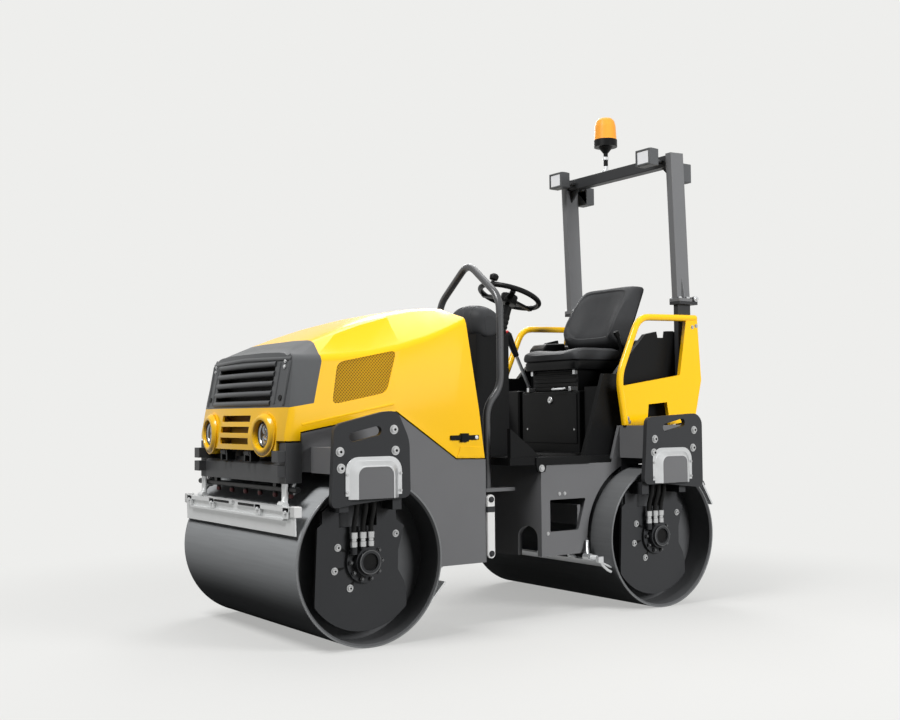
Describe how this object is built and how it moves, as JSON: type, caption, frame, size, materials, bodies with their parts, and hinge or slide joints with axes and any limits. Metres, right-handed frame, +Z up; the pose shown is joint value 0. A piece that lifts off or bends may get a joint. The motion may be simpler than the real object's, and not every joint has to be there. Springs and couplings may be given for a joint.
{
  "type": "tandem road roller",
  "caption": "Ride-on articulated tandem roller with smooth drums, tilting hood, operator platform and folding roll bar.",
  "frame": {"origin": "ground level under the middle of the machine's length and width", "axes": "+Z up, front of the machine towards -Y, its left side towards +X"},
  "size_m": [1.348, 2.518, 2.717],
  "materials": {
    "yellow_paint": "gloss",
    "grey_paint": "satin",
    "drum_steel": "worn satin",
    "black_plastic": "grained",
    "grille_plastic": "satin",
    "zinc": "zinc plated",
    "chrome_rod": "polished",
    "white_paint": "satin",
    "engine_iron": "painted",
    "hose_rubber": "matt",
    "bumper_rubber": "matt",
    "seat_vinyl": "grained vinyl",
    "lamp_glass": "clear",
    "amber_lens": "translucent",
    "mesh_paint": "satin"
  },
  "bodies": {
    "rear": {"rear_frame": "grey_paint", "steering_pin": "zinc", "rear_fork_left": "grey_paint", "rear_fork_right": "grey_paint", "rear_guards": "zinc", "rear_motors": "grey_paint", "rear_hoses": "hose_rubber", "rear_scrapers": "zinc", "platform_tub": "black_plastic", "handrail": "grey_paint", "dash_console": "black_plastic", "steering_column": "black_plastic", "seat_box": "black_plastic", "seat_base": "black_plastic", "seat_cushion": "seat_vinyl", "seat_back": "seat_vinyl", "right_console": "black_plastic", "travel_lever": "black_plastic", "water_tank": "black_plastic", "side_guard_left": "yellow_paint", "side_guard_right": "yellow_paint", "rops_base": "grey_paint"},
    "front": {"front_frame": "grey_paint", "engine_block": "engine_iron", "front_bumper": "bumper_rubber", "front_fork_left": "grey_paint", "front_fork_right": "grey_paint", "front_guards": "zinc", "front_motors": "grey_paint", "front_hoses": "hose_rubber", "front_scrapers": "zinc", "front_spray_bar": "black_plastic", "lock_bar": "white_paint"},
    "front_drum": {"front_drum": "drum_steel"},
    "rear_drum": {"rear_drum": "drum_steel"},
    "hood": {"hood_shell": "yellow_paint", "hood_grille": "grille_plastic", "hood_mesh": "mesh_paint", "hood_hinges": "grey_paint", "hood_latches": "black_plastic", "headlights": "lamp_glass"},
    "steering_wheel": {"steering_wheel": "black_plastic"},
    "rops": {"rops_post_left": "grey_paint", "rops_post_right": "grey_paint", "rops_crossbar": "grey_paint", "work_lamps": "black_plastic", "beacon_base": "black_plastic", "beacon_lens": "amber_lens"},
    "steer_barrel": {"steer_barrel": "grey_paint"},
    "steer_rod": {"steer_rod": "chrome_rod"}
  },
  "joints": [
    {"name": "steer", "type": "hinge", "parent": "rear", "child": "front", "pos_m": [0, -0.019, 0.48], "axis": [0, 0, 1], "range_deg": [-32, 32]},
    {"name": "front_drum_spin", "type": "hinge", "parent": "front", "child": "front_drum", "pos_m": [0, -0.887, 0.36], "axis": [1, 0, 0], "continuous": true},
    {"name": "rear_drum_spin", "type": "hinge", "parent": "rear", "child": "rear_drum", "pos_m": [0, 0.849, 0.36], "axis": [1, 0, 0], "continuous": true},
    {"name": "hood_tilt", "type": "hinge", "parent": "front", "child": "hood", "pos_m": [0, -1.234, 0.825], "axis": [1, 0, 0], "range_deg": [0, 55]},
    {"name": "rops_fold", "type": "hinge", "parent": "rear", "child": "rops", "pos_m": [0, 1.243, 1.607], "axis": [-1, 0, 0], "range_deg": [0, 100]},
    {"name": "steering_wheel_turn", "type": "hinge", "parent": "rear", "child": "steering_wheel", "pos_m": [0, 0.331, 1.617], "axis": [0, 0.342, 0.9397], "continuous": true},
    {"name": "steer_cyl_swing", "type": "hinge", "parent": "rear", "child": "steer_barrel", "pos_m": [-0.19, 0.371, 0.48], "axis": [0, 0, 1], "range_deg": [-12, 12]},
    {"name": "steer_cyl_stroke", "type": "slide", "parent": "steer_barrel", "child": "steer_rod", "axis": [0.0676, -0.9977, 0], "range_m": [-0.1, 0.1]}
  ],
  "couplings": [
    {"joint": "steer_cyl_swing", "follows": "steer", "ratio": 0.31},
    {"joint": "steer_cyl_stroke", "follows": "steer", "m_per_rad": 0.1605}
  ]
}
